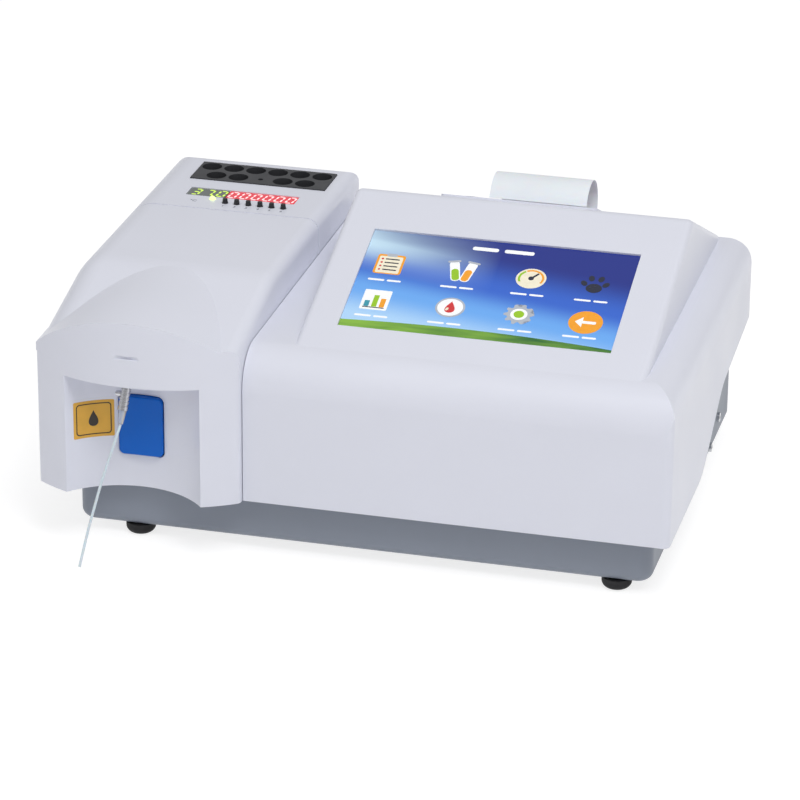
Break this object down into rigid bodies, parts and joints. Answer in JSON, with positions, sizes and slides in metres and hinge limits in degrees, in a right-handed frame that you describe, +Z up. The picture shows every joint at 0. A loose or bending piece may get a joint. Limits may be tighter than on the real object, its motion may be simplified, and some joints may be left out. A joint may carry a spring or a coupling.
{
  "type": "blood analyzer",
  "caption": "Semi-automatic bench-top veterinary blood chemistry analyzer with a tilted touch screen, sampler recess, incubator wells and a thermal printer.",
  "frame": {"origin": "on the bench, under the middle of the case", "axes": "+X to the user's right, +Y to the back, +Z up"},
  "size_m": [0.358, 0.3137, 0.1744],
  "materials": {
    "cover_white": "satin moulded plastic, cool off-white",
    "base_grey": "satin slate grey paint",
    "rubber_black": "matt black rubber",
    "screw_steel": "bright plated steel",
    "screen_glass": "clear touch glass over the lit screen",
    "screen_black": "dark module frame",
    "block_black": "black anodised aluminium",
    "heater_tan": "heater foil laminate",
    "display_dark": "dark display filter",
    "lamp_green": "translucent green lens",
    "board_green": "solder-masked circuit board",
    "key_black": "black key caps",
    "key_blue": "glossy blue plastic",
    "pin_steel": "ground steel",
    "switch_black": "black switch body",
    "nozzle_steel": "turned steel",
    "tip_clear": "clear plastic cone",
    "tube_white": "translucent fluoropolymer tube",
    "bench_alu": "machined aluminium",
    "lamp_alu": "finned cast aluminium",
    "lamp_glass": "quartz capsule",
    "lens_glass": "lens glass",
    "filter_glass": "coated filter glass",
    "wheel_black": "black anodised wheel",
    "motor_black": "black motor case",
    "cell_alu": "machined aluminium",
    "pump_white": "moulded pump head",
    "rotor_grey": "grey pump rotor",
    "roller_white": "acetal roller",
    "silicone": "translucent silicone tube",
    "supply_steel": "zinc-plated cage",
    "fan_black": "black fan plastic",
    "guard_steel": "bright finger guard",
    "socket_black": "black socket plastic",
    "rocker_black": "black rocker",
    "port_steel": "plated connector shell",
    "fitting_white": "white barbed fitting",
    "brass": "brass stud and nut",
    "printer_white": "satin moulded plastic",
    "platen_rubber": "platen rubber",
    "head_alu": "print head heat sink",
    "paper": "thermal paper",
    "feed_grey": "grey key"
  },
  "bodies": {
    "chassis": {"base_tray": "base_grey", "rubber_feet": "rubber_black", "side_screws": "screw_steel", "console_cover": "cover_white", "sampler_hood": "cover_white", "screen_glass": "screen_glass", "screen_module": "screen_black", "incubator_block": "block_black", "heater_plate": "heater_tan", "temperature_display": "display_dark", "timer_display": "display_dark", "status_lamp": "lamp_green", "key_board": "board_green", "key_pin": "pin_steel", "micro_switch": "switch_black", "nozzle_sleeve": "nozzle_steel", "nozzle_tip": "tip_clear", "sipper_tube": "tube_white", "optical_bench": "bench_alu", "lamp_housing": "lamp_alu", "halogen_lamp": "lamp_glass", "condenser_lens": "lens_glass", "filter_motor": "motor_black", "flow_cell_block": "cell_alu", "detector": "board_green", "pump_housing": "pump_white", "pump_tube": "silicone", "main_board": "board_green", "power_supply": "supply_steel", "rear_panel": "base_grey", "fan_frame": "fan_black", "fan_guard": "guard_steel", "power_inlet": "socket_black", "switch_frame": "socket_black", "signal_ports": "port_steel", "waste_fitting": "fitting_white", "ground_post": "brass", "printer_frame": "printer_white", "lid_pin": "pin_steel", "print_head": "head_alu", "paper_strip": "paper"},
    "aspirate_lever": {"aspirate_key": "key_blue"},
    "filter_carousel": {"filter_wheel": "wheel_black", "filter_glasses": "filter_glass"},
    "pump_head": {"pump_rotor": "rotor_grey"},
    "fan": {"fan_rotor": "fan_black"},
    "power_rocker": {"rocker_switch": "rocker_black"},
    "printer_lid": {"printer_door": "printer_white"},
    "platen": {"platen_roller": "platen_rubber"},
    "roll": {"paper_roll": "paper"},
    "feed_button": {"feed_key": "feed_grey"},
    "timer_button_1": {"timer_key_1": "key_black"},
    "timer_button_2": {"timer_key_2": "key_black"},
    "timer_button_3": {"timer_key_3": "key_black"},
    "timer_button_4": {"timer_key_4": "key_black"},
    "timer_button_5": {"timer_key_5": "key_black"},
    "timer_button_6": {"timer_key_6": "key_black"},
    "roller_1": {"pump_roller_1": "roller_white"},
    "roller_2": {"pump_roller_2": "roller_white"},
    "roller_3": {"pump_roller_3": "roller_white"}
  },
  "joints": [
    {"name": "aspirate_press", "type": "hinge", "parent": "chassis", "child": "aspirate_lever", "pos_m": [-0.1204, -0.1105, 0.0865], "axis": [1, 0, 0], "range_deg": [0, 5], "stiffness_Nm_per_rad": 0.35},
    {"name": "filter_turn", "type": "hinge", "parent": "chassis", "child": "filter_carousel", "pos_m": [-0.111, 0.014, 0.084], "axis": [0, 1, 0], "continuous": true},
    {"name": "pump_turn", "type": "hinge", "parent": "chassis", "child": "pump_head", "pos_m": [-0.133, 0.1134, 0.062], "axis": [0, 1, 0], "continuous": true},
    {"name": "fan_turn", "type": "hinge", "parent": "chassis", "child": "fan", "pos_m": [0.024, 0.1184, 0.045], "axis": [0, 1, 0], "continuous": true},
    {"name": "power_rock", "type": "hinge", "parent": "chassis", "child": "power_rocker", "pos_m": [0.088, 0.1259, 0.044], "axis": [-1, 0, 0], "range_deg": [0, 16]},
    {"name": "lid_swing", "type": "hinge", "parent": "chassis", "child": "printer_lid", "pos_m": [0.0555, 0.10671, 0.13102], "axis": [-1, 0, 0], "range_deg": [0, 70]},
    {"name": "platen_turn", "type": "hinge", "parent": "printer_lid", "child": "platen", "pos_m": [0.0662, 0.07945, 0.14188], "axis": [1, 0, 0], "continuous": true},
    {"name": "roll_turn", "type": "hinge", "parent": "chassis", "child": "roll", "pos_m": [0.0662, 0.0853, 0.11554], "axis": [1, 0, 0], "continuous": true},
    {"name": "feed_press", "type": "slide", "parent": "chassis", "child": "feed_button", "axis": [0, -0.417, -0.9089], "range_m": [0, 0.0008], "stiffness_N_per_m": 400},
    {"name": "timer_press_1", "type": "slide", "parent": "chassis", "child": "timer_button_1", "axis": [0, 0, -1], "range_m": [0, 0.0006], "stiffness_N_per_m": 400},
    {"name": "timer_press_2", "type": "slide", "parent": "chassis", "child": "timer_button_2", "axis": [0, 0, -1], "range_m": [0, 0.0006], "stiffness_N_per_m": 400},
    {"name": "timer_press_3", "type": "slide", "parent": "chassis", "child": "timer_button_3", "axis": [0, 0, -1], "range_m": [0, 0.0006], "stiffness_N_per_m": 400},
    {"name": "timer_press_4", "type": "slide", "parent": "chassis", "child": "timer_button_4", "axis": [0, 0, -1], "range_m": [0, 0.0006], "stiffness_N_per_m": 400},
    {"name": "timer_press_5", "type": "slide", "parent": "chassis", "child": "timer_button_5", "axis": [0, 0, -1], "range_m": [0, 0.0006], "stiffness_N_per_m": 400},
    {"name": "timer_press_6", "type": "slide", "parent": "chassis", "child": "timer_button_6", "axis": [0, 0, -1], "range_m": [0, 0.0006], "stiffness_N_per_m": 400},
    {"name": "roller_turn_1", "type": "hinge", "parent": "pump_head", "child": "roller_1", "pos_m": [-0.133, 0.1104, 0.0725], "axis": [0, 1, 0], "continuous": true},
    {"name": "roller_turn_2", "type": "hinge", "parent": "pump_head", "child": "roller_2", "pos_m": [-0.14209, 0.1104, 0.05675], "axis": [0, 1, 0], "continuous": true},
    {"name": "roller_turn_3", "type": "hinge", "parent": "pump_head", "child": "roller_3", "pos_m": [-0.12391, 0.1104, 0.05675], "axis": [0, 1, 0], "continuous": true}
  ],
  "couplings": [
    {"joint": "roller_turn_1", "follows": "pump_turn", "ratio": -4},
    {"joint": "roller_turn_2", "follows": "pump_turn", "ratio": -4},
    {"joint": "roller_turn_3", "follows": "pump_turn", "ratio": -4},
    {"joint": "platen_turn", "follows": "roll_turn", "ratio": 4.4286}
  ]
}
